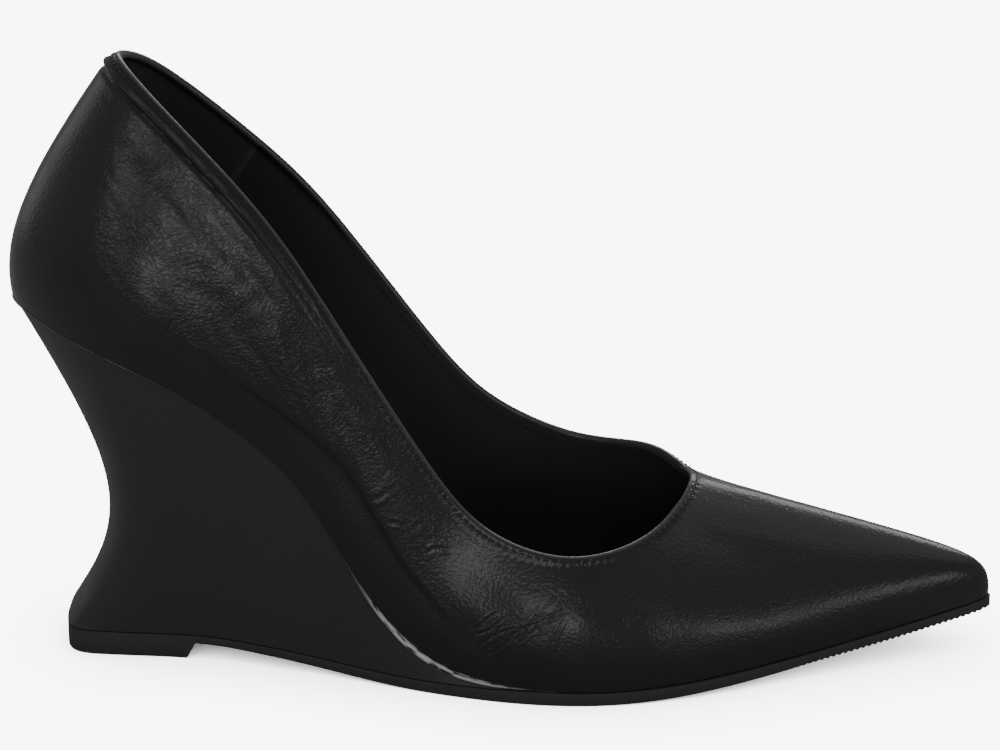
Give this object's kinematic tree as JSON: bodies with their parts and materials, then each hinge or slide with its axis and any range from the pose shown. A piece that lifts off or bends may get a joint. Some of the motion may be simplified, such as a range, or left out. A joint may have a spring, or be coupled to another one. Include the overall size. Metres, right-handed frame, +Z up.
{
  "type": "wedge pump",
  "caption": "Right pointed-toe pump with a low-cut throat, a high wedge hollowed at the back, a lift under the heel and a thin sprung outsole.",
  "frame": {"origin": "On the floor, at the middle of the heel lift's underside.", "axes": "+X from the heel towards the toe, +Y towards the inner side of the foot, +Z up."},
  "size_m": [0.2475, 0.077, 0.1567],
  "materials": {
    "upper_leather": "glossy black crinkled leather",
    "wedge_cover": "smooth satin black leather wrapped around the wedge",
    "lining": "matte black lining",
    "outsole_rubber": "matte black moulded sole"
  },
  "bodies": {
    "root": {"upper": "upper_leather", "wedge": "wedge_cover", "insole": "lining", "outsole": "outsole_rubber"}
  },
  "joints": []
}
